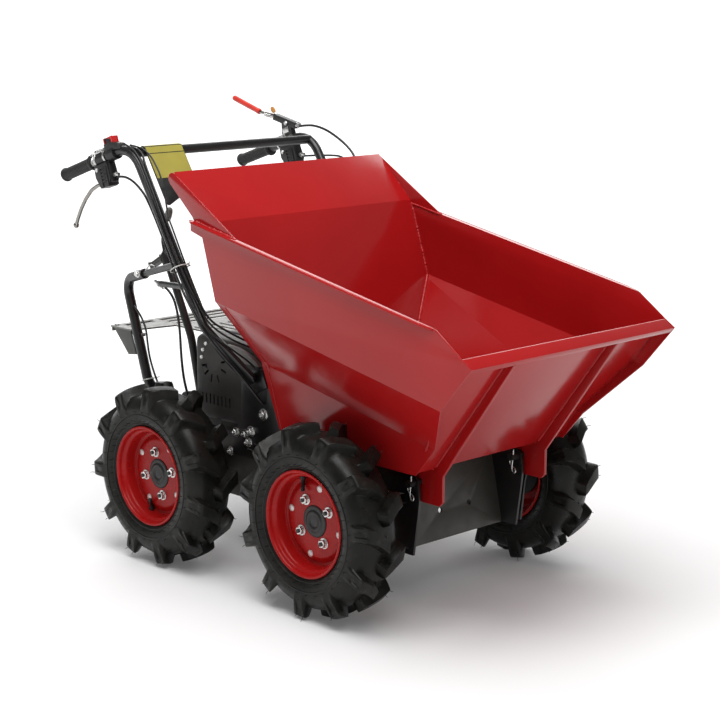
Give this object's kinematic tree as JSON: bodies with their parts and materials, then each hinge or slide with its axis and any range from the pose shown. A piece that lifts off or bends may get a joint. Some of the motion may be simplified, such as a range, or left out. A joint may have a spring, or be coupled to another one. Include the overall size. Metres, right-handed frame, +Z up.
{
  "type": "walk-behind site dumper",
  "caption": "Compact walk-behind site dumper: wheeled box chassis, engine and hoop handlebar behind, and a deep sheet-steel hopper that tips forward on pins.",
  "frame": {"origin": "centre of the footprint box on the ground", "axes": "+X forward, towards the hopper lip; +Y to the machine's left; +Z up"},
  "size_m": [1.3809, 0.7312, 1.0197],
  "materials": {
    "cable_black": "black outer sheath",
    "chassis_grey": "satin dark grey",
    "control_plastic": "moulded black plastic",
    "cover_black": "textured black cover",
    "engine_alloy": "dark cast alloy",
    "frame_black": "satin black powder coat",
    "gearbox_iron": "black cast housing",
    "grip_rubber": "soft black rubber",
    "hopper_red": "gloss red powder coat",
    "hub_black": "black cap and flange",
    "lever_chrome": "bright plated steel",
    "muffler_steel": "heat-proof grey",
    "rack_grey": "grey slotted plate",
    "rim_red": "gloss red",
    "tank_grey": "dark grey tank",
    "tyre_rubber": "matt black rubber",
    "zinc_steel": "bright zinc plate"
  },
  "bodies": {
    "chassis": {"air_cleaner": "cover_black", "axles": "gearbox_iron", "belly_plate": "chassis_grey", "brake_lever": "lever_chrome", "chassis_sides": "frame_black", "control_cables": "cable_black", "control_plate": "frame_black", "cross_members": "frame_black", "drive_lever": "lever_chrome", "drive_lever_body": "control_plastic", "engine_block": "engine_alloy", "fan_cover": "cover_black", "front_plate": "chassis_grey", "fuel_tank": "tank_grey", "gear_lever": "frame_black", "gearbox": "gearbox_iron", "handle_grips": "grip_rubber", "handlebar": "frame_black", "hinge_brackets": "frame_black", "hinge_pins": "zinc_steel", "muffler": "muffler_steel", "rack_cheeks": "rack_grey", "ratchet_brackets": "control_plastic", "rear_guard": "frame_black", "rear_rack": "rack_grey", "stop_switch": "control_plastic", "upright_plates": "frame_black"},
    "hopper": {"hopper_back": "hopper_red", "hopper_ears": "hopper_red", "hopper_floor": "hopper_red", "hopper_front": "hopper_red", "hopper_rib_left": "hopper_red", "hopper_rib_right": "hopper_red", "hopper_side_left": "hopper_red", "hopper_side_right": "hopper_red"},
    "wheel_front_left": {"tyre_front_left": "tyre_rubber", "rim_front_left": "rim_red", "hub_front_left": "hub_black"},
    "wheel_front_right": {"tyre_front_right": "tyre_rubber", "rim_front_right": "rim_red", "hub_front_right": "hub_black"},
    "wheel_rear_left": {"tyre_rear_left": "tyre_rubber", "rim_rear_left": "rim_red", "hub_rear_left": "hub_black"},
    "wheel_rear_right": {"tyre_rear_right": "tyre_rubber", "rim_rear_right": "rim_red", "hub_rear_right": "hub_black"}
  },
  "joints": [
    {"name": "hopper_tip", "type": "hinge", "parent": "chassis", "child": "hopper", "pos_m": [0.40845, 0, 0.293], "axis": [0, 1, 0], "range_deg": [0, 80]},
    {"name": "wheel_front_left_spin", "type": "hinge", "parent": "chassis", "child": "wheel_front_left", "pos_m": [0.26245, 0.308, 0.208], "axis": [0, 1, 0], "continuous": true},
    {"name": "wheel_front_right_spin", "type": "hinge", "parent": "chassis", "child": "wheel_front_right", "pos_m": [0.26245, -0.308, 0.208], "axis": [0, 1, 0], "continuous": true},
    {"name": "wheel_rear_left_spin", "type": "hinge", "parent": "chassis", "child": "wheel_rear_left", "pos_m": [-0.26355, 0.308, 0.208], "axis": [0, 1, 0], "continuous": true},
    {"name": "wheel_rear_right_spin", "type": "hinge", "parent": "chassis", "child": "wheel_rear_right", "pos_m": [-0.26355, -0.308, 0.208], "axis": [0, 1, 0], "continuous": true}
  ]
}
